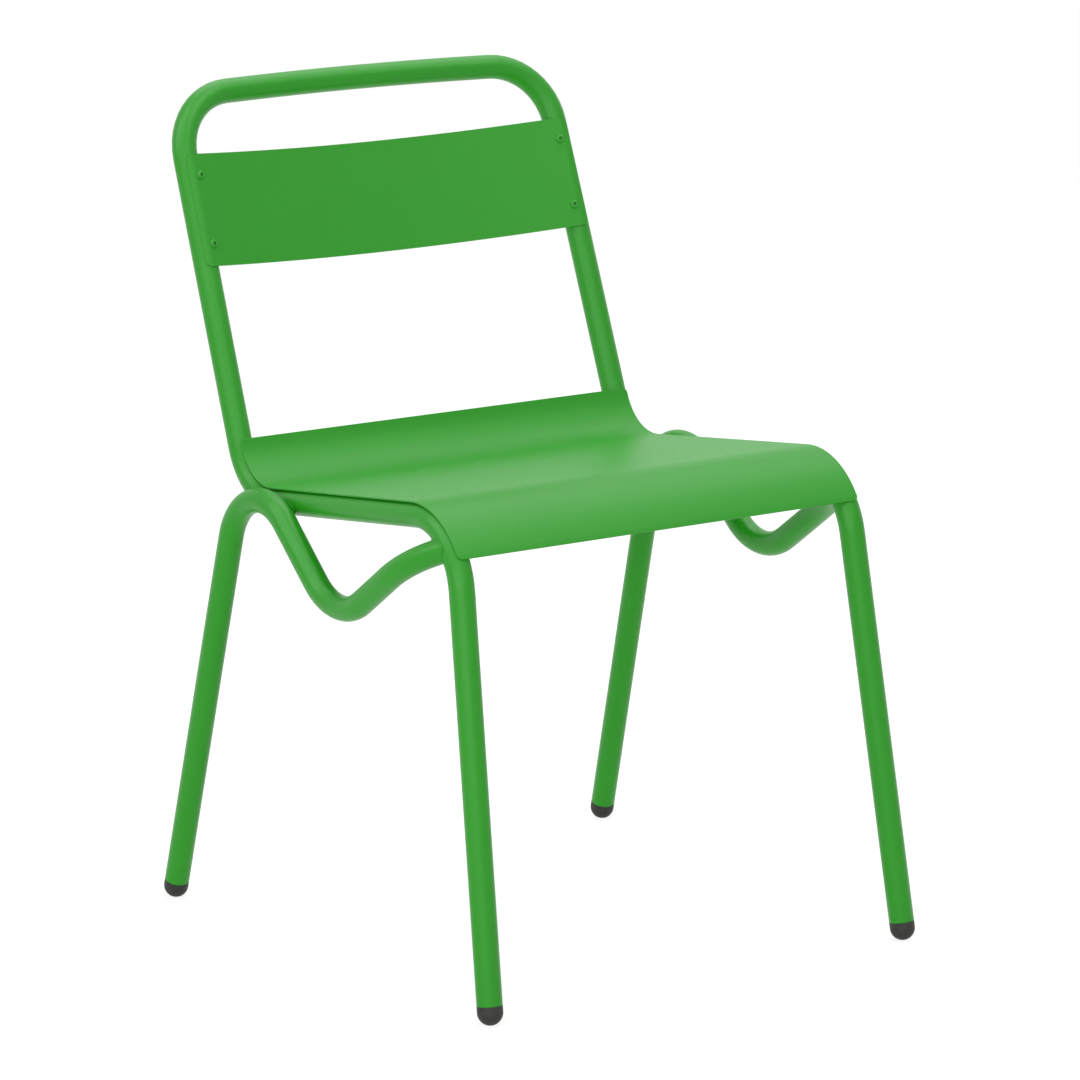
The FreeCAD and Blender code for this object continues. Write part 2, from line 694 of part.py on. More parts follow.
def rivets():
    for name, placement in rivet_places().items():
        rivet = turned_body(f"back_rivet_{name}", RIVET_OUTLINE)
        rivet.Placement = placement
        finish(rivet, f"back_rivet_{name}")
        mandrel = turned_body(f"rivet_mandrel_{name}", MANDREL_OUTLINE)
        mandrel.Placement = placement
        finish(mandrel, f"rivet_mandrel_{name}")


# Feet: a dome and collar under the tube, and a ribbed stem inside it

STEM = f"{BORE} - sizes.foot_stem_clearance"
RIB = f"{BORE} - sizes.foot_rib_clearance"
STEM_TOP = "sizes.foot_collar + sizes.foot_stem_length"


def foot_outline():
    """Local +Z runs up the leg from the centre of the dome."""
    rows = [("0", f"-({RADIUS})", RADIUS), (RADIUS, "0", None), (RADIUS, "sizes.foot_collar", None),
            (STEM, "sizes.foot_collar", None)]
    for rib in range(int(size["foot_rib_count"])):
        low = f"sizes.foot_collar + sizes.foot_rib_start + {rib} * sizes.foot_rib_pitch"
        high = f"{low} + sizes.foot_rib_height"
        rows += [(STEM, low, None), (RIB, low, None), (RIB, high, None), (STEM, high, None)]
    rows += [(STEM, STEM_TOP, None), ("0", STEM_TOP, None)]
    return rows


def feet():
    reach = size["rear_foot_spread"] + size["rear_foot_back"]
    corner = FreeCAD.Placement(Vector(-reach, -reach, -size["tube_diameter"]), FreeCAD.Rotation())
    side_length = "2 * (sizes.rear_foot_spread + sizes.rear_foot_back)"
    slab = box("floor_slab", corner, side_length, side_length, "sizes.tube_diameter")
    for side in SIDES:
        for end, corners in (("front", hoop_corners(side)), ("rear", rear_corners(side))):
            name = f"foot_plug_{end}_{side}"
            plug = turned_body(f"{name}_body", foot_outline())
            plug.Placement = turned_to(corners[1] - corners[0], dome_centre(corners[0], corners[1]))
            finish(boolean("Cut", name, plug, slab), name)


# Welds: beads that fill the corner between two pieces and end on their faces

def corner_bead(name, first_fat, second_fat, first, second, limit=None):
    """What two thickened tubes share, less the tubes themselves."""
    shared = boolean("Common", f"{name}_shared", first_fat, second_fat)
    if limit is not None:
        shared = boolean("Common", f"{name}_limited", shared, limit)
    return boolean("Cut", name, shared, compound(f"{name}_tubes", [first, second]))


def apex_weld(side, hoop, rear):
    name = f"apex_weld_{side}"
    contact = apex_contact("right", apex_half_spread())[1]
    contact.x *= SIDES[side]
    half_box = Vector(size["tube_diameter"], size["apex_weld_length"] / 2, size["tube_diameter"])
    limit = box(f"{name}_box", FreeCAD.Placement(contact - half_box, FreeCAD.Rotation()),
                "2 * sizes.tube_diameter", "sizes.apex_weld_length", "2 * sizes.tube_diameter")
    fat_hoop = rod_along(f"{name}_hoop", *seat_bend_route(side), BEAD_RADIUS)
    fat_rear = rod_along(f"{name}_rear", *apex_route(side), BEAD_RADIUS)
    return finish(corner_bead(name, fat_hoop, fat_rear, hoop, rear, limit), name)


def brace_weld(side, hoop, rear):
    name = f"brace_weld_{side}"
    fat_hoop = rod_along(f"{name}_hoop", *knee_route(side), BEAD_RADIUS)
    fat_rear = rod_along(f"{name}_rear", *brace_end_route(side), BEAD_RADIUS)
    return finish(corner_bead(name, fat_hoop, fat_rear, hoop, rear), name)


def seat_stitches(side, hoop, seat):
    foot, knee, bend, top = hoop_corners(side)
    along = unit(bend - knee)
    over = unit(X_AXIS.cross(along))
    turn = math.radians(size["stitch_side_angle"])
    outward = over * math.cos(turn) - X_AXIS * (SIDES[side] * math.sin(turn))
    to_bead = outward * (TUBE_RADIUS + size["stitch_proud"])
    for number in range(int(size["stitch_count"])):
        middle = size["stitch_start"] + number * size["stitch_pitch"]
        start = knee + along * (middle - size["stitch_length"] / 2) + to_bead
        name = f"seat_weld_{side}_{number + 1}"
        bead = cylinder(f"{name}_bead", turned_to(along, start), "sizes.stitch_radius",
                        "sizes.stitch_length")
        finish(boolean("Cut", name, bead, compound(f"{name}_tools", [hoop, seat])), name)


# Assembly, checks and output

def build_chair():
    holes = rivet_holes()
    hoop, tube = hoop_tube(holes)
    seat = seat_panel()
    back_panel(holes)
    rivets()
    feet()
    for side in SIDES:
        rear, rear_tube = rear_leg_tube(side)
        apex_weld(side, hoop, rear)
        brace_weld(side, hoop, rear)
        seat_stitches(side, hoop, seat)
    document.recompute()


def move_to_origin():
    shift = FreeCAD.Placement(origin_shift(), FreeCAD.Rotation())
    for feature in finished:
        feature.Placement = shift.multiply(feature.Placement)


def check_document():
    for item in document.Objects:
        if "Invalid" in item.State or "Error" in item.State:
            raise RuntimeError(f"{item.Name} did not build: {item.State}")
    for feature in finished:
        if feature.Shape.isNull() or not feature.Shape.isValid():
            raise RuntimeError(f"{feature.Label} has no valid shape")
        if len(feature.Shape.Solids) != 1:
            raise RuntimeError(f"{feature.Label} has {len(feature.Shape.Solids)} solids")


def write_parts():
    os.makedirs("parts", exist_ok=True)
    for feature in finished:
        feature.Shape.exportStep(f"parts/{feature.Label}.step")
        print(feature.Label, round(feature.Shape.Volume, 1))


build_chair()
move_to_origin()
check_document()
write_parts()
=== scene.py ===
import math

import bpy
from bpy.props import FloatProperty, FloatVectorProperty, IntProperty, PointerProperty
from bpy.types import Operator, Panel, PropertyGroup
from mathutils import Matrix, Vector


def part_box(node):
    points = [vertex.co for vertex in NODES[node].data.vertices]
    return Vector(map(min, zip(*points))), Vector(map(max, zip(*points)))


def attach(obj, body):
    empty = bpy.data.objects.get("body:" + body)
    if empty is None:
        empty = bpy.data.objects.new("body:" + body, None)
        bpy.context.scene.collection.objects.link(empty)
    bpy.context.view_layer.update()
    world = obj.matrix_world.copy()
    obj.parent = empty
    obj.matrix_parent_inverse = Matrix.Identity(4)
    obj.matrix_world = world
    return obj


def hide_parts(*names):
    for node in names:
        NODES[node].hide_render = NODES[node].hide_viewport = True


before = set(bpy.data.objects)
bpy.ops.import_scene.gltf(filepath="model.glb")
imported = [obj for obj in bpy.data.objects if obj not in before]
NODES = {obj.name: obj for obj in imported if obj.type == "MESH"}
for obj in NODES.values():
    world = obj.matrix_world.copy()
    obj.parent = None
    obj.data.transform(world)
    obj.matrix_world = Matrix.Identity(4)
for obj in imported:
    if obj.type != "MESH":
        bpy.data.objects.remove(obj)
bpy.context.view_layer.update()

bl_info = {
    "name": "Metal Chair",
    "version": (1, 0, 0),
    "blender": (4, 5, 0),
    "location": "View3D > Sidebar > Chair",
    "description": "Gives the metal chair its powder coat, rounded edges, welds, rivets and feet",
    "category": "Object",
}

# The chair stands on the floor with its front towards -Y. Sizes are in metres.

BODY = "root"
SIDES = ("left", "right")


class ChairSizes(PropertyGroup):
    edge_radius: FloatProperty(
        name="Sheet Edge", description="Rounding of the seat and back panel edges",
        default=0.0004, unit="LENGTH")
    tube_edge_radius: FloatProperty(
        name="Tube End", description="Rounding of the tube ends over the feet",
        default=0.0006, unit="LENGTH")
    foot_edge_radius: FloatProperty(
        name="Foot Collar", description="Rounding of the foot collars under the tube ends",
        default=0.0006, unit="LENGTH")
    bead_grain: FloatProperty(
        name="Bead Grain", description="Size of the faces that a weld bead is smoothed with",
        default=0.0005, unit="LENGTH")
    bead_swell: FloatProperty(
        name="Bead Swell", description="How far a stitch weld swells into the pieces it joins",
        default=0.0011, unit="LENGTH")
    apex_swell: FloatProperty(
        name="Apex Swell", description="How far the weld by a rear leg's bend swells",
        default=0.0003, unit="LENGTH")
    bead_rounding: IntProperty(
        name="Bead Rounding", description="Smoothing steps that round a bead's ridge and ends",
        default=45)
    bead_waves: FloatProperty(
        name="Bead Waves", description="Height of the uneven waves on a bead",
        default=0.0004, unit="LENGTH")
    ring_radius: FloatProperty(
        name="Ring Radius", description="Radius of the bead round the end of a brace",
        default=0.0016, unit="LENGTH")
    ripple_pitch: FloatProperty(
        name="Ripple Pitch", description="From one ripple of a stitch weld to the next",
        default=0.0022, unit="LENGTH")
    ripple_height: FloatProperty(
        name="Ripple Height", description="Height of the ripples on a stitch weld",
        default=0.0003, unit="LENGTH")


class ChairColours(PropertyGroup):
    paint: FloatVectorProperty(
        name="Powder Coat", description="Green coat on the tubes and sheets",
        default=(0.027, 0.360, 0.015), subtype="COLOR", size=3)
    foot: FloatVectorProperty(
        name="Foot Plastic", description="Dark plastic of the feet",
        default=(0.036, 0.035, 0.032), subtype="COLOR", size=3)
    # Coat-stained steel, darkened below the coat's own green as painted shade of the rivets'
    # hollows
    steel: FloatVectorProperty(
        name="Mandrel", description="Coat-stained steel in the rivets' hollows",
        default=(0.016, 0.150, 0.011), subtype="COLOR", size=3)
    floor: FloatVectorProperty(
        name="Floor", description="Plain pale studio floor",
        default=(0.85, 0.85, 0.85), subtype="COLOR", size=3)


# Finishes

TUBE_ROUGHNESS = (0.31, 0.37)
SHEET_ROUGHNESS = (0.40, 0.46)
FOOT_ROUGHNESS = (0.50, 0.64)
STEEL_ROUGHNESS = (0.45, 0.65)

# Nearly all of a noise lies between these.
NOISE_LOW, NOISE_HIGH = 0.3, 0.7

# A mix node has its sockets once for each kind of value, so the colour ones go by number.
MIX_FACTOR, MIX_DARKER, MIX_LIGHTER = 0, 6, 7
MIX_COLOUR = 2


def new_material(name):
    material = bpy.data.materials.new(name)
    material.use_nodes = True
    tree = material.node_tree
    shader = tree.nodes["Principled BSDF"]
    place = tree.nodes.new("ShaderNodeTexCoord")
    return material, tree, shader, place.outputs["Object"]


def noise(tree, place, scale, detail):
    texture = tree.nodes.new("ShaderNodeTexNoise")
    texture.inputs["Scale"].default_value = scale
    texture.inputs["Detail"].default_value = detail
    tree.links.new(place, texture.inputs["Vector"])
    return texture.outputs["Fac"]


def spread(tree, grain, low, high):
    """Maps a noise onto a range."""
    mapping = tree.nodes.new("ShaderNodeMapRange")
    mapping.inputs["From Min"].default_value = NOISE_LOW
    mapping.inputs["From Max"].default_value = NOISE_HIGH
    mapping.inputs["To Min"].default_value = low
    mapping.inputs["To Max"].default_value = high
    tree.links.new(grain, mapping.inputs["Value"])
    return mapping.outputs["Result"]


def vary_colour(tree, shader, grain, colour, change):
    """Mixes a slightly darker and a slightly lighter tone of one colour."""
    mix = tree.nodes.new("ShaderNodeMix")
    mix.data_type = "RGBA"
    darker, lighter = mix.inputs[MIX_DARKER], mix.inputs[MIX_LIGHTER]
    darker.default_value = (*[channel * (1 - change) for channel in colour], 1)
    lighter.default_value = (*[channel * (1 + change) for channel in colour], 1)
    tree.links.new(spread(tree, grain, 0, 1), mix.inputs[MIX_FACTOR])
    tree.links.new(mix.outputs[MIX_COLOUR], shader.inputs["Base Color"])


def vary_roughness(tree, shader, grain, smoothest_and_roughest):
    roughness = spread(tree, grain, *smoothest_and_roughest)
    tree.links.new(roughness, shader.inputs["Roughness"])


def relief(tree, shader, grain, distance, strength):
    bump = tree.nodes.new("ShaderNodeBump")
    bump.inputs["Strength"].default_value = strength
    bump.inputs["Distance"].default_value = distance
    tree.links.new(grain, bump.inputs["Height"])
    tree.links.new(bump.outputs["Normal"], shader.inputs["Normal"])


def powder_coat(name, colour, roughness):
    """Satin powder coat: fine orange peel, and a faint drift in tone and gloss."""
    material, tree, shader, place = new_material(name)
    vary_colour(tree, shader, noise(tree, place, scale=7, detail=3), colour, change=0.02)
    vary_roughness(tree, shader, noise(tree, place, scale=260, detail=2), roughness)
    shader.inputs["Specular IOR Level"].default_value = 0.3
    orange_peel = noise(tree, place, scale=620, detail=1.5)
    relief(tree, shader, orange_peel, distance=0.00012, strength=0.35)
    return material


def foot_plastic(name, colour):
    """Moulded plastic with a fine grain, faintly mottled."""
    material, tree, shader, place = new_material(name)
    vary_colour(tree, shader, noise(tree, place, scale=90, detail=4), colour, change=0.10)
    vary_roughness(tree, shader, noise(tree, place, scale=400, detail=2), FOOT_ROUGHNESS)
    shader.inputs["Specular IOR Level"].default_value = 0.3
    mould_grain = noise(tree, place, scale=1500, detail=2)
    relief(tree, shader, mould_grain, distance=0.00006, strength=0.4)
    return material


def broken_steel(name, colour):
    """Torn end of a steel mandrel, stained by the coat. The colour it is given also holds painted
    shade of the rivets' hollows.
    """
    material, tree, shader, place = new_material(name)
    vary_colour(tree, shader, noise(tree, place, scale=900, detail=3), colour, change=0.3)
    vary_roughness(tree, shader, noise(tree, place, scale=1400, detail=2), STEEL_ROUGHNESS)
    shader.inputs["Metallic"].default_value = 0.3
    tears = noise(tree, place, scale=1800, detail=3)
    relief(tree, shader, tears, distance=0.00015, strength=0.6)
    return material


def give_finish(node, material):
    for slot in node.material_slots:
        slot.material = material


class CHAIR_OT_finishes(Operator):
    """Give the frame's own pieces their finishes"""
    bl_idname = "chair.finishes"
    bl_label = "Finishes"

    def execute(self, context):
        colours = context.scene.chair_colours
        tube_coat = powder_coat("tube_powder_coat", colours.paint, TUBE_ROUGHNESS)
        sheet_coat = powder_coat("sheet_powder_coat", colours.paint, SHEET_ROUGHNESS)
        plastic = foot_plastic("dark_foot_plastic", colours.foot)
        # The mandrel's colour holds painted shade of the rivets' hollows
        steel = broken_steel("mandrel_steel", colours.steel)
        for name, node in NODES.items():
            if name.startswith("foot_plug"):
                give_finish(node, plastic)
            elif name.startswith("rivet_mandrel"):
                give_finish(node, steel)
            elif name.endswith("panel"):
                give_finish(node, sheet_coat)
            else:
                give_finish(node, tube_coat)
        return {"FINISHED"}


# Working on one piece

MERGE_DISTANCE = 0.00001
FLAT_ANGLE = math.radians(0.2)
SMOOTH_ANGLE = math.radians(40)
SHARP_ANGLE = math.radians(50)


def only(piece):
    """Makes a piece the only selected one, and the active one."""
    bpy.ops.object.select_all(action="DESELECT")
    piece.select_set(True)
    bpy.context.view_layer.objects.active = piece


def applied(piece, kind, **values):
    """Adds a modifier, sets it and applies it."""
    modifier = piece.modifiers.new(kind.title(), kind)
    for name, value in values.items():
        setattr(modifier, name, value)
    bpy.ops.object.modifier_apply(modifier=modifier.name)


def copy_of(node, name):
    """Copies a piece of the frame, with its loose triangles merged."""
    piece = bpy.data.objects.new(name, NODES[node].data.copy())
    bpy.context.scene.collection.objects.link(piece)
    only(piece)
    bpy.ops.object.mode_set(mode="EDIT")
    bpy.ops.mesh.select_all(action="SELECT")
    bpy.ops.mesh.remove_doubles(threshold=MERGE_DISTANCE)
    bpy.ops.object.mode_set(mode="OBJECT")
    bpy.ops.mesh.customdata_custom_splitnormals_clear()
    return piece


def select_sharp_edges(piece, angle, is_wanted):
    """Selects the sharp edges with both their ends in a wanted place."""
    bpy.ops.object.mode_set(mode="EDIT")
    bpy.ops.mesh.select_mode(type="EDGE")
    bpy.ops.mesh.select_all(action="DESELECT")
    bpy.ops.mesh.edges_select_sharp(sharpness=angle)
    bpy.ops.object.mode_set(mode="OBJECT")
    vertices = piece.data.vertices
    for edge in piece.data.edges:
        edge.select = edge.select and all(is_wanted(vertices[end].co) for end in edge.vertices)


def stand_for(piece, node, material):
    """Gives a piece its material and puts it in the place of a piece of the frame."""
    piece.data.materials.clear()
    piece.data.materials.append(material)
    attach(piece, BODY)
    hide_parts(node)


# Sheets, tube ends and feet with the rounded edges that coated and moulded pieces have

EDGE_SEGMENTS = 3

# The tubes' open ends over the feet lie below this height.
TUBE_ENDS_BELOW = 0.03


def smooth_between_edges(piece):
    only(piece)
    bpy.ops.object.shade_smooth_by_angle(angle=SMOOTH_ANGLE)
    applied(piece, "WEIGHTED_NORMAL", keep_sharp=True, weight=80)


def rounded_copy(node, name, radius, finely_cut=True):
    """Copies a piece of the frame and rounds its sharp edges. A finely cut outline is rounded no
    further than its shortest edges allow."""
    piece = copy_of(node, name)
    bpy.ops.object.mode_set(mode="EDIT")
    bpy.ops.mesh.select_all(action="SELECT")
    bpy.ops.mesh.dissolve_limited(angle_limit=FLAT_ANGLE)
    bpy.ops.object.mode_set(mode="OBJECT")
    applied(piece, "BEVEL", width=radius, segments=EDGE_SEGMENTS, limit_method="ANGLE",
            angle_limit=SHARP_ANGLE, loop_slide=False, use_clamp_overlap=finely_cut)
    smooth_between_edges(piece)
    return piece


def tube_with_rounded_ends(node, name, radius):
    """Copies a tube and rounds its open ends over the feet."""
    tube = copy_of(node, name)
    select_sharp_edges(tube, SHARP_ANGLE, lambda place: place.z < TUBE_ENDS_BELOW)
    bpy.ops.object.mode_set(mode="EDIT")
    bpy.ops.mesh.bevel(offset=radius, segments=EDGE_SEGMENTS, affect="EDGES", clamp_overlap=False)
    bpy.ops.object.mode_set(mode="OBJECT")
    smooth_between_edges(tube)
    return tube


class CHAIR_OT_sheets(Operator):
    """Round the edges of the seat and the back panel"""
    bl_idname = "chair.sheets"
    bl_label = "Seat and Back"

    def execute(self, context):
        radius = context.scene.chair_sizes.edge_radius
        coat = bpy.data.materials["sheet_powder_coat"]
        seat = rounded_copy("seat_panel", "seat_sheet", radius, finely_cut=False)
        stand_for(seat, "seat_panel", coat)
        back = rounded_copy("back_panel", "back_sheet", radius)
        stand_for(back, "back_panel", coat)
        return {"FINISHED"}


class CHAIR_OT_tubes(Operator):
    """Round the tubes' open ends over the feet"""
    bl_idname = "chair.tubes"
    bl_label = "Tubes"

    def execute(self, context):
        radius = context.scene.chair_sizes.tube_edge_radius
        coat = bpy.data.materials["tube_powder_coat"]
        for node, name in (("hoop_tube", "hoop"), ("rear_leg_tube_left", "rear_leg_left"),
                           ("rear_leg_tube_right", "rear_leg_right")):
            tube = tube_with_rounded_ends(node, name, radius)
            stand_for(tube, node, coat)
        return {"FINISHED"}


class CHAIR_OT_feet(Operator):
    """Round the collars of the four feet"""
    bl_idname = "chair.feet"
    bl_label = "Feet"

    def execute(self, context):
        radius = context.scene.chair_sizes.foot_edge_radius
        plastic = bpy.data.materials["dark_foot_plastic"]
        for place in (f"{end}_{side}" for end in ("front", "rear") for side in SIDES):
            node = f"foot_plug_{place}"
            foot = rounded_copy(node, f"foot_{place}", radius)
            stand_for(foot, node, plastic)
        return {"FINISHED"}


# Weld beads, rounded and slightly uneven under the coat

BRACE_END_ANGLE = math.radians(35)
WAVE_SIZE = 0.005

# The share of the way from one ripple to the next that is raised
RIPPLE_CREST = 0.4


def rounded(bead, sizes):
    applied(bead, "REMESH", mode="VOXEL", voxel_size=sizes.bead_grain)
    applied(bead, "SMOOTH", factor=0.5, iterations=sizes.bead_rounding)


def smooth_bead(node, name, swell, sizes):
    bead = copy_of(node, name)
    applied(bead, "DISPLACE", strength=swell, mid_level=0)
    rounded(bead, sizes)
    return bead


def ring_bead(tube, node, name, sizes):
    """Runs a bead round the sharp end of a tube, where the frame has its weld."""
    ring = copy_of(tube, name)
    low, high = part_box(node)
    select_sharp_edges(ring, BRACE_END_ANGLE, lambda place: all(
        low[axis] < place[axis] < high[axis] for axis in range(3)))
    bpy.ops.object.mode_set(mode="EDIT")
    bpy.ops.mesh.select_all(action="INVERT")
    bpy.ops.mesh.delete(type="EDGE")
    bpy.ops.object.mode_set(mode="OBJECT")
    bpy.ops.object.convert(target="CURVE")
    longest = max(ring.data.splines, key=lambda spline: spline.calc_length())
    for spline in list(ring.data.splines):
        if spline != longest:
            ring.data.splines.remove(spline)
    ring.data.bevel_depth = sizes.ring_radius
    ring.data.bevel_resolution = 3
    bpy.ops.object.convert(target="MESH")
    rounded(ring, sizes)
    return ring


def uneven(bead, height):
    """Gives a bead the slow waves of a hand weld."""
    waves = bpy.data.textures.new(f"{bead.name}_waves", "CLOUDS")
    waves.noise_scale = WAVE_SIZE
    waves.noise_depth = 1
    applied(bead, "DISPLACE", texture=waves, texture_coords="LOCAL", strength=height)
    bpy.ops.object.shade_smooth()


def ripple(bead, along, pitch, height):
    """Raises rings across a bead's length and rounds them."""
    bpy.ops.object.mode_set(mode="EDIT")
    bpy.ops.mesh.select_mode(type="VERT")
    bpy.ops.mesh.select_all(action="DESELECT")
    bpy.ops.object.mode_set(mode="OBJECT")
    for vertex in bead.data.vertices:
        vertex.select = vertex.co.dot(along) / pitch % 1 < RIPPLE_CREST
    bpy.ops.object.mode_set(mode="EDIT")
    bpy.ops.transform.shrink_fatten(value=height)
    bpy.ops.object.mode_set(mode="OBJECT")
    applied(bead, "SMOOTH", factor=0.5, iterations=2)
    bpy.ops.object.shade_smooth()


def middle_of(node):
    low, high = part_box(node)
    return (low + high) / 2


class CHAIR_OT_tube_welds(Operator):
    """Smooth the welds between the rear legs, their braces and the hoop"""
    bl_idname = "chair.tube_welds"
    bl_label = "Tube Welds"

    def execute(self, context):
        sizes = context.scene.chair_sizes
        coat = bpy.data.materials["tube_powder_coat"]
        for side in SIDES:
            brace, apex = f"brace_weld_{side}", f"apex_weld_{side}"
            ring = ring_bead(f"rear_leg_tube_{side}", brace, f"brace_bead_{side}", sizes)
            fillet = smooth_bead(apex, f"apex_bead_{side}", sizes.apex_swell, sizes)
            for bead, node in ((ring, brace), (fillet, apex)):
                only(bead)
                uneven(bead, sizes.bead_waves)
                stand_for(bead, node, coat)
        return {"FINISHED"}


class CHAIR_OT_seat_welds(Operator):
    """Ripple the stitch welds that hold the seat to its rails"""
    bl_idname = "chair.seat_welds"
    bl_label = "Seat Welds"

    def execute(self, context):
        sizes = context.scene.chair_sizes
        coat = bpy.data.materials["tube_powder_coat"]
        for side in SIDES:
            stitches = sorted(name for name in NODES if name.startswith(f"seat_weld_{side}"))
            along = (middle_of(stitches[-1]) - middle_of(stitches[0])).normalized()
            for number, node in enumerate(stitches, start=1):
                bead = smooth_bead(node, f"seat_bead_{side}_{number}", sizes.bead_swell, sizes)
                ripple(bead, along, sizes.ripple_pitch, sizes.ripple_height)
                stand_for(bead, node, coat)
        return {"FINISHED"}


# Rivets turned to a fuller section than the frame's

RIVET_SIDES = 64

# Radius, and height over the panel's face, round the section
RIVET_SECTION = (
    (0.00140, -0.00948), (0.00140, 0.00130), (0.00152, 0.00168), (0.00180, 0.00190),
    (0.00225, 0.00198), (0.00280, 0.00192), (0.00335, 0.00174), (0.00385, 0.00144),
    (0.00425, 0.00104), (0.00455, 0.00058), (0.00470, 0.00020), (0.00470, 0.00000),
    (0.00240, 0.00000), (0.00240, -0.00508), (0.00320, -0.00508), (0.00320, -0.00808),
    (0.00240, -0.00948),
)


def turned_rivet():
    """Turns a rivet about the Z axis, with the panel's face at zero height."""
    first_radius, first_height = RIVET_SECTION[0]
    bpy.ops.object.select_all(action="DESELECT")
    bpy.ops.mesh.primitive_circle_add(vertices=RIVET_SIDES, radius=first_radius,
                                      location=(0, 0, first_height))
    rivet = bpy.context.object
    bpy.ops.object.transform_apply(location=True)
    bpy.ops.object.mode_set(mode="EDIT")
    for (radius, height), (next_radius, next_height) in zip(RIVET_SECTION, RIVET_SECTION[1:]):
        rise = (0, 0, next_height - height)
        bpy.ops.mesh.extrude_edges_move(TRANSFORM_OT_translate={"value": rise})
        widen = next_radius / radius
        bpy.ops.transform.resize(value=(widen, widen, 1), center_override=(0, 0, 0))
    bpy.ops.mesh.select_mode(type="EDGE")
    bpy.ops.mesh.select_all(action="DESELECT")
    bpy.ops.mesh.select_non_manifold()
    bpy.ops.mesh.bridge_edge_loops()
    bpy.ops.mesh.select_all(action="SELECT")
    bpy.ops.mesh.normals_make_consistent(inside=False)
    bpy.ops.object.mode_set(mode="OBJECT")
    bpy.ops.object.shade_smooth_by_angle(angle=SMOOTH_ANGLE)
    return rivet


def centre_of(node):
    vertices = NODES[node].data.vertices
    return sum((vertex.co for vertex in vertices), Vector()) / len(vertices)


class CHAIR_OT_rivets(Operator):
    """Turn the rivets that hold the back panel"""
    bl_idname = "chair.rivets"
    bl_label = "Rivets"

    def execute(self, context):
        coat = bpy.data.materials["tube_powder_coat"]
        pattern = turned_rivet()
        tail = min(height for radius, height in RIVET_SECTION)
        for place in (f"{level}_{side}" for level in ("upper", "lower") for side in SIDES):
            node = f"back_rivet_{place}"
            middle = centre_of(node)
            out = (middle - centre_of(f"rivet_mandrel_{place}")).normalized()
            depth = min((vertex.co - middle).dot(out) for vertex in NODES[node].data.vertices)
            rivet = bpy.data.objects.new(f"rivet_{place}", pattern.data.copy())
            context.scene.collection.objects.link(rivet)
            turn = out.to_track_quat("Z", "Y").to_matrix().to_4x4()
            rivet.data.transform(Matrix.Translation(middle + out * (depth - tail)) @ turn)
            stand_for(rivet, node, coat)
        bpy.data.objects.remove(pattern)
        return {"FINISHED"}


# Studio: white ground, even light, and the camera that took the photograph

FLOOR_SIZE = 40

# The camera sees the floor's glow plus a matt shade, which the chair's shadow darkens.
FLOOR_GLOW = 0.83
FLOOR_SHADE = (0.35, 0.35, 0.35)

# Strength of the even light from all round, and the point that the softboxes face
EVEN_LIGHT = 0.48
LIGHTS_AIM = Vector((0, 0, 0.45))

CAMERA_PLACE = Vector((-2.6668, -4.1256, 1.4057))
CAMERA_AZIMUTH = math.radians(-33.065)
CAMERA_ELEVATION = math.radians(11.932)
CAMERA_ROLL = math.radians(-0.860)
CAMERA_LENS = 174.7


def white_for_camera(tree, lit, white):
    """Shows the white shader to the camera and in reflections, and the lit one to soft light."""
    rays = tree.nodes.new("ShaderNodeLightPath")
    seen = rays.outputs["Is Camera Ray"]
    for name in ("Is Glossy Ray", "Is Transmission Ray"):
        either = tree.nodes.new("ShaderNodeMath")
        either.operation = "MAXIMUM"
        tree.links.new(seen, either.inputs[0])
        tree.links.new(rays.outputs[name], either.inputs[1])
        seen = either.outputs[0]
    mix = tree.nodes.new("ShaderNodeMixShader")
    tree.links.new(seen, mix.inputs[0])
    tree.links.new(lit, mix.inputs[1])
    tree.links.new(white, mix.inputs[2])
    return mix.outputs[0]


def matt(tree, colour):
    shader = tree.nodes.new("ShaderNodeBsdfDiffuse")
    shader.inputs["Color"].default_value = (*colour, 1)
    return shader.outputs[0]


def studio_floor(colour):
    """Pale floor. The camera sees it as white, darkened only where the chair shades it."""
    material = bpy.data.materials.new("studio_floor")
    material.use_nodes = True
    tree = material.node_tree
    tree.nodes.clear()
    glow = tree.nodes.new("ShaderNodeEmission")
    glow.inputs["Strength"].default_value = FLOOR_GLOW
    both = tree.nodes.new("ShaderNodeAddShader")
    tree.links.new(matt(tree, FLOOR_SHADE), both.inputs[0])
    tree.links.new(glow.outputs[0], both.inputs[1])
    output = tree.nodes.new("ShaderNodeOutputMaterial")
    surface = white_for_camera(tree, matt(tree, colour), both.outputs[0])
    tree.links.new(surface, output.inputs["Surface"])
    return material


def even_white(tree, strength):
    background = tree.nodes.new("ShaderNodeBackground")
    background.inputs["Color"].default_value = (1, 1, 1, 1)
    background.inputs["Strength"].default_value = strength
    return background.outputs[0]


def studio_world():
    world = bpy.data.worlds.new("studio")
    world.use_nodes = True
    tree = world.node_tree
    tree.nodes.clear()
    output = tree.nodes.new("ShaderNodeOutputWorld")
    surface = white_for_camera(tree, even_white(tree, EVEN_LIGHT), even_white(tree, 1))
    tree.links.new(surface, output.inputs["Surface"])
    bpy.context.scene.world = world


def softbox(name, azimuth, elevation, distance, size, radiance):
    """One soft rectangular light that faces the chair. Its place is in degrees round from the
    chair's front and up from the floor, and in metres away."""
    around, up = math.radians(azimuth), math.radians(elevation)
    away = Vector((math.sin(around) * math.cos(up), -math.cos(around) * math.cos(up), math.sin(up)))
    width, height = size
    light = bpy.data.lights.new(name, "AREA")
    light.shape = "RECTANGLE"
    light.size = width
    light.size_y = height
    light.energy = radiance * math.pi * width * height
    lamp = bpy.data.objects.new(name, light)
    lamp.location = LIGHTS_AIM + away * distance
    lamp.rotation_euler = away.to_track_quat("Z", "Y").to_euler()
    lamp.visible_camera = False
    bpy.context.scene.collection.objects.link(lamp)
    return lamp


def sheen(name, **place_and_light):
    """A softbox that only shows in the coat's gloss."""
    lamp = softbox(name, **place_and_light)
    lamp.visible_diffuse = False


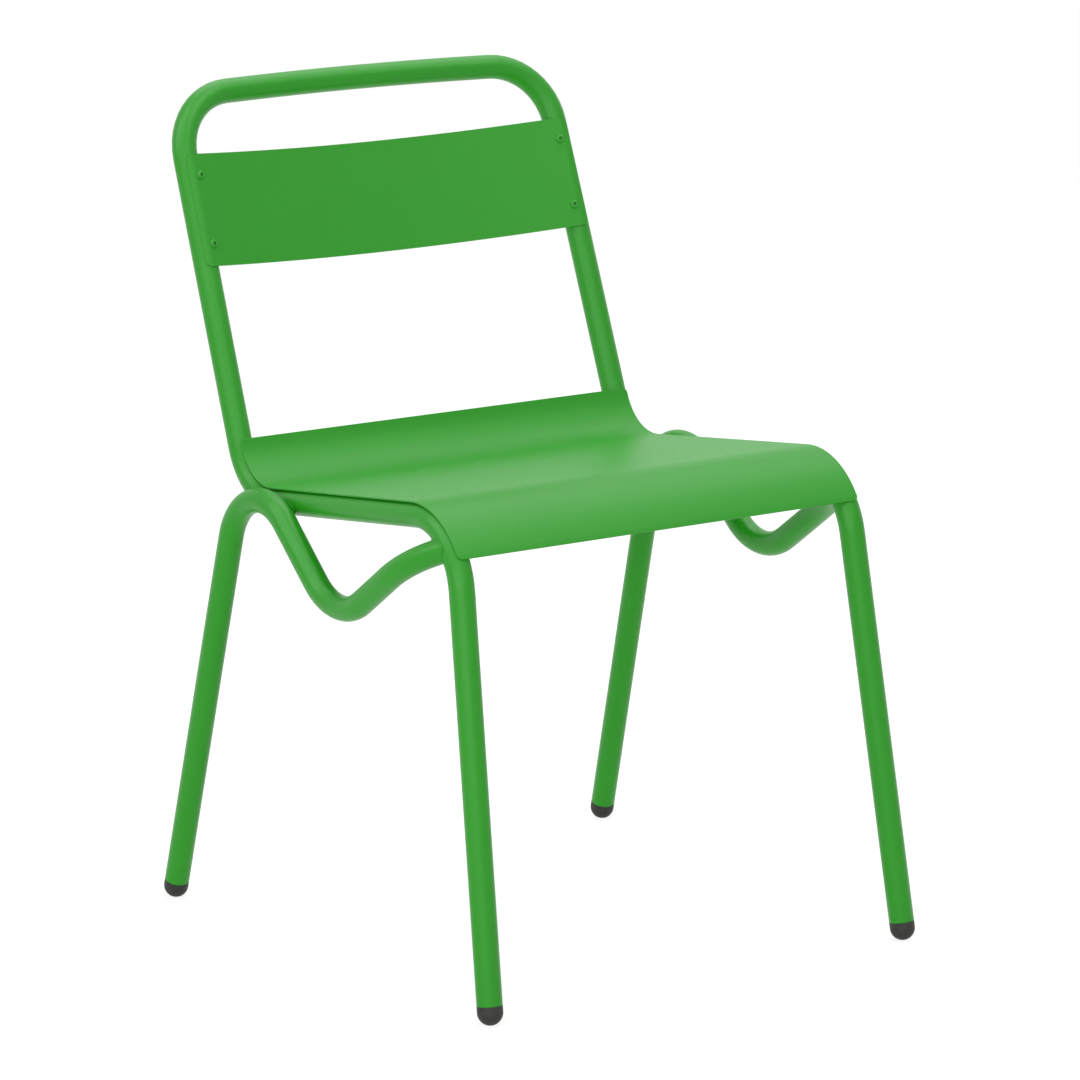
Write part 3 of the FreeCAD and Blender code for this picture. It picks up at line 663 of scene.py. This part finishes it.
def studio_light():
    softbox("top_softbox", azimuth=0, elevation=90, distance=2.8, size=(2.4, 2.4), radiance=0.72)
    softbox("back_softbox", azimuth=135, elevation=60, distance=3.2, size=(3.2, 1.7), radiance=2.03)
    softbox("low_softbox", azimuth=-52, elevation=9, distance=3.6, size=(4.5, 0.95), radiance=2.92)
    sheen("side_sheen", azimuth=-90, elevation=60, distance=3.2, size=(2.6, 1.8), radiance=2.1)
    sheen("left_sheen", azimuth=-108, elevation=33, distance=3.4, size=(1.75, 1.7), radiance=2.6)
    sheen("front_sheen", azimuth=-32, elevation=33, distance=3.4, size=(5.0, 1.7), radiance=1.4)
    sheen("right_sheen", azimuth=30, elevation=60, distance=3.2, size=(2.3, 1.7), radiance=2.5)


def photo_camera():
    """The photograph's camera, fitted to the chair's outlines in it."""
    data = bpy.data.cameras.new("photo_camera")
    data.lens = CAMERA_LENS
    data.sensor_width = 36
    data.clip_end = 100
    camera = bpy.data.objects.new("photo_camera", data)
    bpy.context.scene.collection.objects.link(camera)
    flat = math.cos(CAMERA_ELEVATION)
    back = Vector((math.sin(CAMERA_AZIMUTH) * flat, -math.cos(CAMERA_AZIMUTH) * flat,
                   math.sin(CAMERA_ELEVATION)))
    level = Vector((math.cos(CAMERA_AZIMUTH), math.sin(CAMERA_AZIMUTH), 0))
    upright = back.cross(level)
    right = level * math.cos(CAMERA_ROLL) + upright * math.sin(CAMERA_ROLL)
    up = back.cross(right)
    turn = Matrix((right, up, back)).transposed().to_4x4()
    camera.matrix_world = Matrix.Translation(CAMERA_PLACE) @ turn
    bpy.context.scene.camera = camera


class CHAIR_OT_stage(Operator):
    """Set the pale floor, the soft studio light and the camera"""
    bl_idname = "chair.stage"
    bl_label = "Stage"

    def execute(self, context):
        bpy.ops.mesh.primitive_plane_add(size=FLOOR_SIZE, location=(0, 0, 0))
        floor = context.object
        floor.name = "studio_floor"
        floor.data.materials.append(studio_floor(context.scene.chair_colours.floor))
        studio_world()
        studio_light()
        photo_camera()
        context.scene.view_settings.view_transform = "Standard"
        return {"FINISHED"}


class CHAIR_PT_panel(Panel):
    """Steps that dress the chair"""
    bl_idname = "CHAIR_PT_panel"
    bl_label = "Metal Chair"
    bl_space_type = "VIEW_3D"
    bl_region_type = "UI"
    bl_category = "Chair"

    def draw(self, context):
        for step in STEPS:
            self.layout.operator(step.bl_idname)


STEPS = (CHAIR_OT_finishes, CHAIR_OT_sheets, CHAIR_OT_tubes, CHAIR_OT_feet,
         CHAIR_OT_tube_welds, CHAIR_OT_seat_welds, CHAIR_OT_rivets, CHAIR_OT_stage)
CLASSES = (ChairSizes, ChairColours, *STEPS, CHAIR_PT_panel)


def register():
    for item in CLASSES:
        bpy.utils.register_class(item)
    bpy.types.Scene.chair_sizes = PointerProperty(type=ChairSizes)
    bpy.types.Scene.chair_colours = PointerProperty(type=ChairColours)


def unregister():
    del bpy.types.Scene.chair_colours
    del bpy.types.Scene.chair_sizes
    for item in reversed(CLASSES):
        bpy.utils.unregister_class(item)


def main():
    register()
    bpy.ops.object.select_all(action="DESELECT")
    bpy.ops.chair.finishes()
    bpy.ops.chair.sheets()
    bpy.ops.chair.tubes()
    bpy.ops.chair.feet()
    bpy.ops.chair.tube_welds()
    bpy.ops.chair.seat_welds()
    bpy.ops.chair.rivets()
    bpy.ops.chair.stage()


if __name__ == "__main__":
    main()
